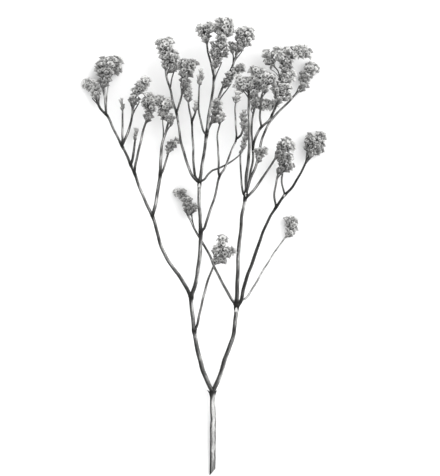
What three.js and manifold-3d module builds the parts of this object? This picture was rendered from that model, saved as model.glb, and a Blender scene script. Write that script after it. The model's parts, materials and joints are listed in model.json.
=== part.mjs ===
// A cut sprig of dried statice (Limonium), lying on a flat surface at z = 0.
// Millimetres, +Z up. The stem runs along +Y, from its slanting cut to the flower heads.
//
// Every stem is one tapered tube along a smooth route. A side stem starts on the axis of the stem
// that it grew from, and is cut off a little short of it, so that the solids don't touch. A flower
// head is one lumpy solid, a few round lobes grown together, with a socket for each stem that enters
// it. A spike is a thin stalk that swells into a small head of its own, and is one solid.

import * as THREE from "three";
import { mergeVertices } from "three/addons/utils/BufferGeometryUtils.js";
import Module from "manifold-3d";

const wasm = await Module();
wasm.setup();

// ---------------------------------------------------------------- driving dimensions

const GAP = 0.3; // between a solid and its neighbour
const STEM_SIDES = 6;
const STEM_RING_STEP = 10; // along a stem, between two rings
const SPIKE_RING_STEP = 5; // along a spike, which needs more rings where it swells
const CUT_SLANT_DEG = 50; // of the cut end of the main stem, seen from above
const CUT_MIDDLE = 1.5; // the y at which the cut crosses the middle of the main stem
const SPIKE_OUTLINE = [0.16, 0.84]; // the stretch of a half sine wave that a spike's outline follows
const AXIS_SAMPLES = 400; // points that are tried for the start of a side stem
const WELD = 1e-3; // vertices nearer than this are one

// Thickness of each kind of stem, at its base and at its tip.
const THICKNESS = {
  main: [4.5, 4.0],
  limb: [3.5, 2.0],
  branch: [2.8, 1.7],
  stalk: [2.1, 1.5],
  thin: [1.8, 1.4],
};

const STEM_MATERIAL = new THREE.MeshStandardMaterial({
  color: 0x4a4846,
  roughness: 0.8,
  metalness: 0,
});
const FLOWER_MATERIAL = new THREE.MeshStandardMaterial({
  color: 0xa9a8a6,
  roughness: 0.9,
  metalness: 0,
});

// ---------------------------------------------------------------- the stems
// kind: one of THICKNESS.
// from: the stem that it grew from. Its first point is moved to that stem's axis.
// route: points [x, y, z] that its own axis passes through.

const STEMS = {
  main_stem: {
    kind: "main",
    route: [[0, -2, 2.2], [0.2, 22, 3.6], [0.4, 45, 5.6], [0, 65.5, 8.5]],
  },
  left_limb: {
    kind: "limb",
    from: "main_stem",
    route: [
      [0, 65.5, 8.5], [-7.6, 83, 11.5], [-11.8, 99, 14], [-14.7, 115, 16.5], [-16.3, 131, 19],
      [-17, 142.5, 20.5], [-13.5, 153, 22], [-11, 169.5, 24], [-9.5, 185, 26.5], [-9.5, 197, 28],
      [-10.5, 215, 31], [-10.5, 231.5, 33.5], [-8.2, 247, 35], [-6.4, 260, 36], [-5, 269.5, 36.5],
      [-4, 277, 37], [-2.5, 291, 38], [0, 303, 39], [1, 315, 40], [2.2, 329, 41.5],
    ],
  },
  right_limb: {
    kind: "limb",
    from: "main_stem",
    route: [
      [0, 65.5, 8.5], [5.2, 77, 10], [10.4, 93.5, 12.5], [16.4, 110.5, 15.5], [18.8, 129.5, 18.5],
      [19.7, 147, 21], [20.8, 179, 25], [22.5, 195, 27.5], [24, 211, 29.5], [26.5, 222.5, 31],
      [27, 237, 32.5], [28.3, 249.5, 33.5], [29.4, 261, 34.5], [29.3, 279, 35.5], [29, 306, 36.5],
    ],
  },
  left_branch: {
    kind: "branch",
    from: "left_limb",
    route: [
      [-16.8, 139.5, 20], [-21.9, 151.5, 19.5], [-26, 158, 19], [-34, 169, 17.5],
      [-39.8, 178.8, 16.5], [-43.5, 191, 15.5], [-47.6, 205.5, 14.5], [-51.2, 213.2, 14],
      [-55, 221.5, 13.5], [-59, 231, 13], [-62, 240, 12.5], [-68.5, 254.7, 12], [-71.7, 261.6, 11.5],
      [-79.6, 277.2, 11], [-85.3, 288.7, 10.5], [-89.8, 293.3, 9.8], [-93, 298.8, 8.8], [-94, 303.5, 8],
    ],
  },
  right_branch: {
    kind: "branch",
    from: "right_limb",
    route: [
      [19.4, 129, 18.5], [21.8, 136.5, 18.8], [23.7, 143, 19], [25.9, 153, 18.5], [34.2, 176, 17],
      [41.6, 197, 15], [50.4, 213.2, 14], [57.3, 223, 13], [62.5, 228, 12.5], [69, 238.5, 12],
      [76.6, 253.2, 10.5], [78.2, 256.7, 9.8],
    ],
  },

  low_left_stalk: {
    kind: "stalk",
    from: "right_limb",
    route: [
      [20, 131, 19], [16, 139, 19.5], [9.5, 150.5, 19.5], [3.6, 161.5, 20], [-2.5, 176, 19.5],
      [-9.5, 188, 17], [-14, 196, 14.5], [-18.5, 205, 11], [-20.5, 209, 9.5],
    ],
  },
  low_centre_stalk: {
    kind: "stalk",
    from: "left_limb",
    route: [
      [-13.3, 111, 16], [-12, 121, 20], [-9.5, 133, 23], [-6, 147, 26.5], [-2, 160, 29.5],
      [1.5, 168, 31.5], [3, 171.5, 32.5],
    ],
  },
  low_right_stalk: {
    kind: "thin",
    from: "right_limb",
    route: [
      [20, 134, 19], [26.5, 141, 16], [37, 157, 12], [46.5, 173, 8.8], [58, 189, 6.2],
      [60.6, 192.6, 5.7],
    ],
  },

  far_left_top_stalk: {
    kind: "stalk",
    from: "left_branch",
    route: [[-84.5, 288, 10.5], [-85.5, 294.5, 11.5], [-86.5, 301.5, 11.5], [-87, 314, 11]],
  },
  left_inner_stalk: {
    kind: "stalk",
    from: "left_branch",
    route: [
      [-72.3, 263, 11.5], [-70.4, 267.5, 13.5], [-66.5, 277.5, 17], [-64, 289.5, 20.5],
      [-62.5, 297.5, 22],
    ],
  },
  left_middle_stalk: {
    kind: "stalk",
    from: "left_branch",
    route: [
      [-62, 240, 12.5], [-61.8, 247, 16], [-59.2, 259, 20.5], [-56.7, 269, 24], [-53.5, 282, 28],
      [-52, 286, 28.8],
    ],
  },
  left_right_stalk: {
    kind: "branch",
    from: "left_branch",
    route: [
      [-47.5, 205.5, 14.5], [-45.5, 217, 17], [-44, 227, 18.5], [-42, 237.5, 19.5],
      [-41.6, 249.5, 20], [-40.7, 261, 20], [-39.2, 269.5, 20], [-36.7, 276, 20], [-35, 283, 20.2],
    ],
  },

  upper_left_stalk: {
    kind: "stalk",
    from: "left_limb",
    route: [
      [-10.5, 231.5, 33.5], [-13.8, 235, 32.5], [-18.8, 245.5, 30.5], [-24.8, 265, 27.5],
      [-28.5, 288, 26], [-32.4, 301.5, 26], [-34, 309, 26], [-37, 319, 26], [-38, 327, 26],
    ],
  },
  upper_left_inner_stalk: {
    kind: "thin",
    from: "upper_left_stalk",
    route: [
      [-28.5, 288, 26], [-27, 294.5, 28.5], [-25.3, 301, 31], [-23.6, 307, 33], [-22.5, 313, 34.5],
    ],
  },
  top_left_stalk: {
    kind: "thin",
    from: "left_limb",
    route: [[0.8, 315, 40], [0, 323, 38], [-2.5, 333, 36], [-4, 341, 35], [-5, 347.5, 34.5]],
  },
  top_right_stalk: {
    kind: "stalk",
    from: "left_limb",
    route: [
      [-4.5, 272, 36.5], [-2.5, 277, 34.5], [0, 285, 33], [3, 295, 31.5], [6.2, 305, 30.6],
      [10.8, 315, 30], [15.2, 325, 30], [20, 338, 30],
    ],
  },

  right_low_stalk: {
    kind: "thin",
    from: "right_limb",
    route: [
      [26.5, 222.5, 31], [27.8, 228, 29.5], [29.5, 237, 28], [31.5, 247, 26], [32.6, 254.5, 25],
      [32, 261, 24.5], [31.5, 275, 23.5], [32, 287, 23], [34.3, 295, 23],
    ],
  },
  far_right_top_stalk: {
    kind: "stalk",
    from: "right_limb",
    route: [
      [26.2, 221, 31], [28.5, 230.5, 35], [32, 241.5, 37], [35.6, 249.5, 36.5], [38, 262, 33.5],
      [41, 273, 30], [45, 279, 27.5], [48, 285.5, 24.5], [56, 293, 20], [62.5, 300, 16.5],
      [71.5, 309, 13.5],
    ],
  },
  right_upper_stalk: {
    kind: "stalk",
    from: "right_limb",
    route: [
      [25.5, 218.5, 30.5], [29.5, 223, 30.5], [33, 227.5, 29.5], [40, 237.5, 28], [46.5, 247, 27],
      [53, 257, 26.5],
    ],
  },
  right_middle_stalk: {
    kind: "stalk",
    from: "right_low_stalk",
    route: [
      [32.2, 258, 25], [33, 265.5, 27], [35.6, 272, 29.5], [38.7, 277.7, 32], [45, 283, 34.5],
      [47.5, 287.5, 36], [50.5, 294, 38], [53.5, 301, 39],
    ],
  },
  right_raised_stalk: {
    kind: "thin",
    from: "right_middle_stalk",
    route: [
      [38.2, 277, 32], [37.8, 282, 34], [38.1, 290, 37.5], [38.9, 299, 41], [39.5, 305, 43],
      [41.3, 309.5, 45],
    ],
  },
  right_top_stalk: {
    kind: "thin",
    from: "right_middle_stalk",
    route: [[47, 286.5, 35.5], [49.7, 292, 31], [51.6, 298, 27], [54.5, 307, 23.5], [56.5, 315, 22]],
  },
  right_lower_left_stalk: {
    kind: "thin",
    from: "right_branch",
    route: [[50, 212, 14], [49, 217, 15.5], [49.5, 223, 16], [50.3, 229.5, 16.5], [53.2, 244, 17]],
  },
  right_lower_right_stalk: {
    kind: "thin",
    from: "right_branch",
    route: [[57.5, 223, 13], [56.2, 228, 14.8], [55.6, 233, 15.2], [56.3, 243.5, 16.5]],
  },
};

// ---------------------------------------------------------------- the spikes
// A spike is a stem with a small head at its end. length and width are those of the head.

const SPIKES = {
  left_long_bud: {
    kind: "thin",
    from: "left_branch",
    route: [
      [-71, 258.5, 11.5], [-72, 266, 14.5], [-72, 279, 20], [-72, 293.5, 25], [-72.5, 301, 26.5],
    ],
    length: 7,
    width: 3.6,
  },
  left_short_bud: {
    kind: "thin",
    from: "left_branch",
    route: [
      [-65, 246.5, 12], [-64, 253.5, 10], [-62.8, 261.5, 8], [-62, 269.5, 6.3], [-61.2, 277, 5.5],
    ],
    length: 6,
    width: 4.6,
  },
  left_curved_spike: {
    kind: "thin",
    from: "left_right_stalk",
    route: [
      [-41.7, 238, 19.5], [-40, 243, 17], [-38.3, 247.5, 15], [-36.2, 254.5, 12], [-34.8, 260.5, 10],
      [-31.8, 265, 8.5], [-26, 268.3, 8],
    ],
    length: 15,
    width: 8.6,
  },
  upper_left_spike: {
    kind: "stalk",
    from: "left_limb",
    route: [
      [-10.5, 229, 33], [-13, 236, 31], [-14.9, 247, 27], [-15.8, 267, 22], [-17, 285, 19.5],
      [-18.4, 291, 19], [-19.6, 299, 18.5], [-20, 316, 18.5],
    ],
    length: 18,
    width: 8,
  },
  upper_side_bud: {
    kind: "thin",
    from: "upper_left_spike",
    route: [[-16.4, 281, 20], [-14.7, 287.5, 22.5], [-13.5, 291, 24], [-13, 299.5, 27]],
    length: 9.5,
    width: 5.6,
  },
  upper_middle_bud: {
    kind: "thin",
    from: "left_limb",
    route: [
      [-5, 269.5, 36.5], [-7.8, 277, 39.5], [-10.8, 289.5, 43], [-10.9, 301.5, 45.5], [-10.3, 311, 47],
      [-8.5, 325, 49],
    ],
    length: 11,
    width: 6,
  },
  centre_branch: {
    kind: "stalk",
    from: "left_limb",
    route: [
      [-9.5, 188, 27], [-6.5, 197.5, 29], [-4, 205, 30.5], [0, 217, 33], [3, 227, 35],
      [5.5, 238.5, 37], [9.3, 244, 38], [12.8, 253, 38.8], [16.2, 261, 39.5], [19, 268.5, 40.5],
      [18.7, 276, 41.3], [18.3, 285, 42.5], [18.4, 296, 44], [21, 306.5, 45.5],
    ],
    length: 10,
    width: 7,
  },
  centre_cup: {
    kind: "thin",
    from: "centre_branch",
    route: [
      [5, 236.5, 37], [5, 244, 39.5], [4.5, 259, 42], [4, 271, 44], [5.5, 278.5, 45], [8, 290, 46],
    ],
    length: 9.5,
    width: 7.2,
  },
  centre_spike: {
    kind: "thin",
    from: "centre_branch",
    route: [
      [19, 268, 40.5], [22.3, 271, 43.5], [24.2, 275.7, 46.5], [24.6, 281, 48.5], [25, 291, 50.5],
    ],
    length: 13,
    width: 7,
  },
  inner_spike: {
    kind: "thin",
    from: "right_limb",
    route: [
      [25.8, 219.5, 30.7], [24.6, 225.5, 28.5], [23, 235, 25], [22.5, 247, 21.5], [22.5, 257.5, 19.5],
      [25, 264, 19.3], [27.2, 272, 20], [26, 285, 22],
    ],
    length: 15,
    width: 5,
  },
  crossing_spike: {
    kind: "thin",
    from: "left_limb",
    route: [
      [-10.3, 233.5, 33.7], [-8, 234, 33], [-5.8, 237.2, 31.5], [-1.5, 242.5, 29.5], [5, 245, 27.5],
      [11, 248, 26.2], [17.5, 252, 26.2], [22.5, 257, 27], [24.5, 262, 28.5], [25.5, 270.5, 30],
    ],
    length: 11,
    width: 6.4,
  },
};

// ---------------------------------------------------------------- the flower heads
// Each head is a list of round lobes [x, y, z, radius] that grow into one another.

const HEADS = {
  far_left_head: [[-100.5, 313.5, 4.9, 4.8], [-95.5, 312.5, 6.5, 5.2], [-93.5, 305.5, 7, 4.8]],
  far_left_top_head: [
    [-89.8, 325.6, 7, 5.6], [-87, 330, 10, 5.2], [-81.5, 331, 11.5, 5.2], [-76.5, 330.5, 8.5, 5.6],
    [-77, 325.8, 5.2, 4.9], [-84, 325.2, 10.5, 6.5], [-86, 317, 10.5, 5.2],
  ],
  left_inner_head: [
    [-62.5, 301, 22.5, 4.7], [-60.8, 306.6, 23.5, 4.4], [-56.5, 311, 24.5, 5], [-53, 315, 25.5, 4.4],
  ],
  left_middle_head: [
    [-51, 301, 31, 5.2], [-53, 298, 30.5, 4], [-49.5, 294.5, 30, 5.2], [-51, 287.5, 29, 4.4],
  ],
  left_right_head: [
    [-43, 299.5, 20, 4.8], [-36, 297, 22.5, 5.6], [-39, 290, 19, 5.2], [-33.8, 285.6, 21, 4.4],
  ],
  upper_left_head: [
    [-40.5, 345, 25, 5.2], [-35.5, 345.5, 27, 5], [-40.8, 340, 25, 4.2], [-34.4, 341.3, 27, 4],
    [-37.5, 337, 24.5, 5.8], [-31.5, 335, 28, 5.8], [-31, 327, 26.5, 5.2], [-36.5, 329, 25.5, 4.4],
  ],
  upper_left_inner_head: [
    [-22, 315.5, 35.5, 4.8], [-22.5, 322, 36.5, 4.8], [-20.5, 328, 37, 5], [-15, 328.5, 35.5, 4.4],
    [-16.8, 322, 36, 3.4], [-25, 329, 35.5, 3.8],
  ],
  top_left_head: [[-8, 356, 33, 5.6], [-4, 357.5, 35, 5.2], [-6, 351, 34, 5]],
  top_centre_head: [
    [2.8, 331, 42, 4.4], [3, 338, 41, 5.8], [7, 344, 43, 5.6], [8, 351, 44, 5.6],
    [8, 358.5, 42, 5.8], [12.5, 361, 44.5, 5.2], [5.2, 361.8, 42, 4], [1.8, 357.4, 43.5, 3.4],
    [15.2, 355.2, 43.5, 3.4], [1.6, 343.2, 41, 4.2], [10.4, 338.6, 42.5, 4.2], [6, 332.5, 42.5, 3.2],
  ],
  top_right_head: [
    [21.5, 342.5, 29.5, 4.6], [23, 349, 28, 5.6], [29, 350.5, 29.5, 5.6], [15.5, 342.5, 31, 4.6],
    [21, 354, 31, 4.2], [24.8, 355, 29.5, 4], [30.5, 354.5, 29, 4.2], [28, 346, 29.5, 4.2],
  ],
  top_side_head: [
    [11.5, 314, 33, 4.2], [14, 319.5, 33.5, 4.2], [18.5, 322, 33, 4], [22.5, 325, 32.5, 4],
  ],
  middle_side_head: [[3.8, 297.5, 34, 4.2], [3.5, 291.5, 34.5, 4.6], [2, 286, 34.5, 4]],

  right_inner_head: [
    [20.5, 311, 36, 4.6], [20.8, 316.6, 40, 4], [26, 313.8, 37.5, 5.2], [32.5, 312.5, 36.5, 6],
    [34, 306.5, 38, 4.8], [38.6, 310.5, 38, 3.6],
  ],
  right_raised_head: [
    [42, 310.5, 45.5, 4.4], [43.5, 317, 47, 5.6], [48.3, 317, 46.5, 4.2], [37.5, 321, 45.5, 5.2],
    [33, 323, 44.5, 4.2],
  ],
  right_top_head: [
    [57, 318.5, 20, 5], [59, 326, 19, 5.4], [59.5, 332, 18, 5.6], [45.6, 333.4, 19, 5.8],
    [53, 336, 21.5, 5], [66, 338, 17, 5.6], [72.5, 339.2, 16, 5.6], [77, 337.3, 15.5, 4],
    [43.2, 336.8, 19.5, 4.4], [52.5, 338.8, 20.5, 4.4], [59.2, 339, 18.5, 4], [69.5, 341, 16.5, 4.2],
  ],
  right_middle_head: [
    [53.5, 302.5, 39.5, 4.8], [52, 309, 41, 5.4], [58.5, 308.5, 39, 5.6], [61, 315, 38, 4.4],
    [63.5, 319, 37.5, 4], [60.4, 302.6, 38.5, 3.8],
  ],
  right_low_head: [[35.5, 298.4, 23.5, 5.2], [42.5, 296.2, 24.5, 5.2], [48.8, 296.2, 22, 4.8]],
  far_right_top_head: [
    [73.5, 312.5, 11, 4.6], [74.5, 319, 8, 5.2], [79, 326.3, 6, 5], [82.3, 324.5, 4.3, 4.1],
  ],
  right_side_head: [[37, 258.5, 39.5, 3.8], [41, 259, 38.5, 3.4], [38, 254, 39, 3.4]],
  right_upper_head: [
    [56, 258.5, 26.5, 4], [55, 261, 27, 4.8], [58.5, 265.5, 28, 5], [62.5, 262.5, 26.5, 4.4],
  ],
  right_lower_head: [
    [57, 252, 17.5, 5.2], [60.5, 247, 16.5, 5], [56, 246, 17.5, 4.4], [61.6, 254, 17, 3.6],
  ],
  far_right_head: [
    [80, 260, 9, 4.8], [77.5, 264, 6.5, 4.9], [83, 264.5, 8.5, 6.2], [86.3, 261.3, 5.2, 4.8],
    [86.5, 270.5, 6, 5.4], [78.5, 270, 10, 4.6],
  ],
  low_right_head: [
    [62.4, 194.6, 5.5, 4.2], [64.5, 198, 4.7, 4.4], [61.5, 203, 4.5, 4.2], [65, 204, 4.6, 4],
  ],
  low_centre_head: [
    [3.8, 172.5, 33, 4.2], [4.5, 179.5, 34, 5.2], [10.5, 178.5, 35, 5.6], [15, 178.5, 33, 4.2],
    [8, 187.8, 34, 5.1], [8.6, 172.4, 34, 3.8],
  ],
  low_left_head: [
    [-18.7, 213.2, 8.5, 5], [-15.2, 214.2, 8, 4.2], [-20.6, 219.6, 6, 5], [-24.6, 225.6, 4.1, 4],
    [-28, 226.2, 4, 3.6],
  ],
};

// ---------------------------------------------------------------- solids

/** A closed geometry as a manifold-3d solid. */
function solidOf(geometry) {
  const positions = new THREE.BufferGeometry();
  positions.setAttribute("position", geometry.getAttribute("position"));
  positions.setIndex(geometry.getIndex());
  const welded = mergeVertices(positions, WELD);
  const mesh = new wasm.Mesh({
    numProp: 3,
    vertProperties: welded.getAttribute("position").array,
    triVerts: new Uint32Array(welded.getIndex().array),
  });
  return new wasm.Manifold(mesh);
}

/** A solid as a geometry with flat faces. */
function geometryOf(solid) {
  const { vertProperties, triVerts } = solid.getMesh();
  const geometry = new THREE.BufferGeometry();
  geometry.setAttribute("position", new THREE.BufferAttribute(vertProperties, 3));
  geometry.setIndex(new THREE.BufferAttribute(triVerts, 1));
  const flat = geometry.toNonIndexed();
  flat.computeVertexNormals();
  return flat;
}

/** The largest of the bodies that a cut leaves. */
function largestBody(solid) {
  const bodies = solid.decompose();
  return bodies.reduce((best, body) => (body.volume() > best.volume() ? body : best));
}

/** A tube around a curve, with radiusAt(distance from the start, whole length) at each ring. */
function tube(curve, ringStep, radiusAt, clearance = 0) {
  const length = curve.getLength();
  const steps = Math.max(2, Math.round(length / ringStep));
  const section = new THREE.Shape();
  for (let side = 0; side < STEM_SIDES; side += 1) {
    const angle = (side / STEM_SIDES) * 2 * Math.PI;
    const corner = [Math.cos(angle), Math.sin(angle)];
    if (side === 0) section.moveTo(...corner);
    else section.lineTo(...corner);
  }
  const geometry = new THREE.ExtrudeGeometry(section, { steps, extrudePath: curve });

  // Every ring was made 1 mm in radius: scale it about its own centre, and move the first and the last
  // ring outwards by the clearance.
  const centres = curve.getSpacedPoints(steps);
  const startShift = curve.getTangentAt(0).multiplyScalar(-clearance);
  const endShift = curve.getTangentAt(1).multiplyScalar(clearance);
  const position = geometry.getAttribute("position");
  const vertex = new THREE.Vector3();
  for (let i = 0; i < position.count; i += 1) {
    vertex.fromBufferAttribute(position, i);
    const distances = centres.map((centre) => centre.distanceToSquared(vertex));
    const ring = distances.indexOf(Math.min(...distances));
    const radius = radiusAt((ring / steps) * length, length) + clearance;
    vertex.sub(centres[ring]).multiplyScalar(radius).add(centres[ring]);
    if (ring === 0) vertex.add(startShift);
    if (ring === steps) vertex.add(endShift);
    position.setXYZ(i, vertex.x, vertex.y, vertex.z);
  }
  return solidOf(geometry);
}

/** The radius of a stem, which tapers evenly from its base to its tip. */
function stemRadius(kind) {
  const [base, tip] = THICKNESS[kind];
  return (distance, length) => THREE.MathUtils.lerp(base, tip, distance / length) / 2;
}

/** The radius of a spike: a stalk, then a head that is fullest in its middle and blunt at its end. */
function spikeRadius({ kind, length: headLength, width }) {
  const stalk = stemRadius(kind);
  return (distance, length) => {
    const along = 1 - (length - distance) / headLength;
    if (along < 0) return stalk(distance, length);
    return (width / 2) * Math.sin(Math.PI * THREE.MathUtils.lerp(...SPIKE_OUTLINE, along));
  };
}

/** The point of a curve that is nearest to a point seen from above. */
function nearestOnAxis(curve, point) {
  const candidates = curve.getSpacedPoints(AXIS_SAMPLES);
  const flatDistance = (p) => Math.hypot(p.x - point.x, p.y - point.y);
  return candidates.reduce((best, p) => (flatDistance(p) < flatDistance(best) ? p : best));
}

// ---------------------------------------------------------------- growing the sprig

const grown = new Map(); // name -> { curve, solid, clearanceSolid, from }

/** Adds a stem or a spike, cut off short of the stem it grew from and of the others that start there. */
function growStem(name, stem, ringStep, radiusAt) {
  const points = stem.route.map((p) => new THREE.Vector3(...p));
  const parent = grown.get(stem.from);
  if (parent) points[0] = nearestOnAxis(parent.curve, points[0]);
  const curve = new THREE.CatmullRomCurve3(points, false, "centripetal");
  let solid = tube(curve, ringStep, radiusAt);
  for (const [otherName, other] of grown) {
    if (otherName === stem.from || (parent && other.from === stem.from)) {
      solid = solid.subtract(other.clearanceSolid);
    }
  }
  grown.set(name, {
    curve,
    from: stem.from,
    solid: largestBody(solid),
    clearanceSolid: tube(curve, ringStep, radiusAt, GAP),
  });
}

/** Lobes grown together, with a socket for every stem that reaches in. */
function growHead(lobes) {
  let solid = null;
  for (const [x, y, z, radius] of lobes) {
    const ball = new THREE.DodecahedronGeometry(radius).translate(x, y, z);
    solid = solid ? solid.add(solidOf(ball)) : solidOf(ball);
  }
  for (const { clearanceSolid } of grown.values()) solid = solid.subtract(clearanceSolid);
  return largestBody(solid);
}

/** Trims the foot of the main stem with a slanting cut. */
function trimFoot(solid) {
  const size = 3 * THICKNESS.main[0];
  const waste = new THREE.BoxGeometry(size, size, size)
    .translate(0, -size / 2, 0)
    .rotateZ(THREE.MathUtils.degToRad(CUT_SLANT_DEG))
    .translate(0, CUT_MIDDLE, 0);
  return largestBody(solid.subtract(solidOf(waste)));
}

const sprig = new THREE.Group();

function addPiece(name, solid, material) {
  const mesh = new THREE.Mesh(geometryOf(solid), material);
  mesh.name = name;
  sprig.add(mesh);
}

for (const [name, stem] of Object.entries(STEMS)) {
  growStem(name, stem, STEM_RING_STEP, stemRadius(stem.kind));
}
for (const [name, spike] of Object.entries(SPIKES)) {
  growStem(name, spike, SPIKE_RING_STEP, spikeRadius(spike));
}
grown.get("main_stem").solid = trimFoot(grown.get("main_stem").solid);

for (const [name, { solid }] of grown) {
  addPiece(name, solid, name in SPIKES ? FLOWER_MATERIAL : STEM_MATERIAL);
}
for (const [name, lobes] of Object.entries(HEADS)) {
  addPiece(name, growHead(lobes), FLOWER_MATERIAL);
}

// The origin is under the middle of the whole sprig, on the surface that it lies on.
const box = new THREE.Box3().setFromObject(sprig);
const middle = box.getCenter(new THREE.Vector3());
sprig.position.set(-middle.x, -middle.y, -box.min.z);

export default sprig;
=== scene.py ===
"""A cut sprig of dried statice that lies on a pale surface, seen from straight above.

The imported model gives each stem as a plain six-sided tube, each spike as a tube with a swollen end, and
each flower head as a lumpy solid. Every one of them is replaced here by detailed meshes in its own place:
a ridged dry stem along the same axis, and small papery cups whose rims lie on the solid's surface, on
twigs that grow from the stem inside it. Metres, +Y from the cut end to the flower heads, +Z up.
"""

import json
import math
from typing import NamedTuple

import bpy
import numpy as np
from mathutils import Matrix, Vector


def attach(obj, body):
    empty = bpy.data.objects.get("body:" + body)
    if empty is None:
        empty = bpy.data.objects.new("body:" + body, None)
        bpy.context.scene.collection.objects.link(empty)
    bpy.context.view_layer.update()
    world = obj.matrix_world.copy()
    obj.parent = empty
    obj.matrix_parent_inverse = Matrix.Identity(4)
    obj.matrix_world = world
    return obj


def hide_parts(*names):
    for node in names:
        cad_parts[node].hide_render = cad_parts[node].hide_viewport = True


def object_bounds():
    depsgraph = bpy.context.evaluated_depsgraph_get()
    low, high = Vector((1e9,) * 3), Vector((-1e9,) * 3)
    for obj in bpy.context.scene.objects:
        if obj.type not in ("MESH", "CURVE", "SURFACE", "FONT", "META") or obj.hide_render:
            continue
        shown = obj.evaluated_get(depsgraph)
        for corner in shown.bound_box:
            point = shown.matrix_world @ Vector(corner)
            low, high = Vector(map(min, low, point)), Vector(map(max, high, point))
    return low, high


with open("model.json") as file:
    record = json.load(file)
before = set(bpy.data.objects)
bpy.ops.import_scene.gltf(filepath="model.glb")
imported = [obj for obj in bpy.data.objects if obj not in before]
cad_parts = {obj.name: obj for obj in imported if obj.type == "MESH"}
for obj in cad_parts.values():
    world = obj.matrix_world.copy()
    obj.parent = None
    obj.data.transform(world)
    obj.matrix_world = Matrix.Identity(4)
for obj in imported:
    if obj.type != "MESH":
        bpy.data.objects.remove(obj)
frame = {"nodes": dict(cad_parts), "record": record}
CAD_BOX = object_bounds()

# ---- the sprig's sizes, in metres

MM = 1e-3
UP = np.array([0.0, 0.0, 1.0])
FLOOR = 0.03 * MM  # nothing of the sprig reaches lower than this

# What grew from what, without the flower heads.
SIDE_STEMS = {
    "main_stem": ["left_limb", "right_limb"],
    "left_limb": [
        "left_branch", "low_centre_stalk", "upper_left_stalk", "top_left_stalk", "top_right_stalk",
        "upper_left_spike", "upper_middle_bud", "centre_branch", "crossing_spike",
    ],
    "right_limb": [
        "right_branch", "low_left_stalk", "low_right_stalk", "right_low_stalk", "far_right_top_stalk",
        "right_upper_stalk", "inner_spike",
    ],
    "left_branch": [
        "far_left_top_stalk", "left_inner_stalk", "left_middle_stalk", "left_right_stalk",
        "left_long_bud", "left_short_bud",
    ],
    "right_branch": ["right_lower_left_stalk", "right_lower_right_stalk"],
    "left_right_stalk": ["left_curved_spike"],
    "upper_left_stalk": ["upper_left_inner_stalk"],
    "upper_left_spike": ["upper_side_bud"],
    "right_low_stalk": ["right_middle_stalk"],
    "right_middle_stalk": ["right_raised_stalk", "right_top_stalk"],
    "centre_branch": ["centre_cup", "centre_spike"],
}
SIDEWAYS_TIPS = ["left_curved_spike"]  # its tip points along +X, and every other tip along +Y
LARGE_SCALES = {"left_limb": 1.2}  # how much larger the dark scale leaf is where this leaves
# Where these leave, a pale scale leaf lies on top of the parent.
PALE_SCALES = ["upper_left_stalk", "right_low_stalk", "right_lower_right_stalk", "right_branch"]

# The heads with a second stalk: its side of the first, how far below the head it leaves the first, and how
# far beside the first it enters the head.
LEFT, RIGHT = -1, 1
SECOND_STALKS = {
    "far_left_top_head": (RIGHT, 24 * MM, 3.2 * MM),
    "left_inner_head": (RIGHT, 10 * MM, 3.0 * MM),
    "left_right_head": (LEFT, 13 * MM, 4.2 * MM),
    "upper_left_head": (RIGHT, 16 * MM, 8.0 * MM),
    "low_left_head": (RIGHT, 12 * MM, 3.5 * MM),
    "top_centre_head": (RIGHT, 14 * MM, 4.0 * MM),
    "top_side_head": (RIGHT, 16 * MM, 4.0 * MM),
    "top_right_head": (LEFT, 9 * MM, 3.5 * MM),
}

# The tone of the heads that are paler or darker than the others, whose tone is 1.
PALEST_PAINTED_LIGHT, PALE, DARK = 1.4, 1.2, 0.85
SHADES = {
    # right_low_head lies under other heads: its palest tone is painted light that lifts their shadow.
    PALEST_PAINTED_LIGHT: ["right_low_head"],
    PALE: [
        "far_left_head", "far_right_top_head", "right_middle_head", "right_inner_head",
        "right_top_head", "low_right_head", "left_right_head", "upper_left_head", "top_left_head",
        "centre_branch", "centre_cup", "inner_spike", "upper_left_spike", "upper_side_bud",
        "upper_middle_bud", "left_short_bud",
    ],
    DARK: [
        "left_middle_head", "middle_side_head", "top_side_head", "right_side_head",
        "right_lower_head", "upper_left_inner_head", "centre_spike", "left_long_bud",
    ],
}
HEAD_SHADES = {node: shade for shade, nodes in SHADES.items() for node in nodes}
SLOTS = {part["node"]: part["material_slot"] for part in frame["record"]["subparts"]}

PACKED_SIDES = 6  # corners of a packed stem's ring
RING_STEP = 1.5 * MM  # along a stem
FEWEST_RIDGES = 2
RIDGES_PER_RADIUS = 2.8 / MM
SIDES_PER_RIDGE = 5
RIDGE_DEPTH = 0.09  # of the radius
RIDGE_DRIFT, RIDGE_DRIFT_LENGTH = 0.5, 31 * MM  # how far round the ridges wander, in radians
OVAL, OVAL_LENGTH = 0.03, 8 * MM  # how far a stem is from round, and over what length this turns
BUMP, BUMP_LENGTH = 0.02, 1.9 * MM  # its small bumps, of the radius
GROOVE_SHADE, RIDGE_SHADE = 0.85, 1.15  # of a stem's tone
FORK_SWELLING = 0.24  # of the radius, where a side stem leaves
SHARED_SWELLING = 1.2  # the most that several side stems near each other make of this
FORK_REACH = 2.2 * MM  # along the stem that swells
FORK_DARKNESS = 0.85
# The scale leaves at the forks: width and length, how far their bases are out of the parent's axis and below
# the fork, all in radii of the parent, and their tones.
DARK_SCALE_SIZE, PALE_SCALE_SIZE = np.array([2.0, 2.4]), np.array([1.9, 2.6])
DARK_SCALE_PLACE, PALE_SCALE_PLACE = (0.95, 1.4), (1.3, 2.2)
DARK_SCALE_TONE, PALE_SCALE_TONE = 0.2, 1.3
DARK_SCALE_LEAN = 0.25  # how far its point leans out, of its length
WOBBLE = 0.18 * MM  # how far a stem strays from its packed axis
WOBBLE_LENGTHS = (17 * MM, 29 * MM)
WOBBLE_START = 6 * MM  # how far from a stem's end it strays fully
END_TURNS = np.array([0.36, 0.72, 1.09, 1.45])  # the rings of a rounded end, in radians up to its pole
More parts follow.
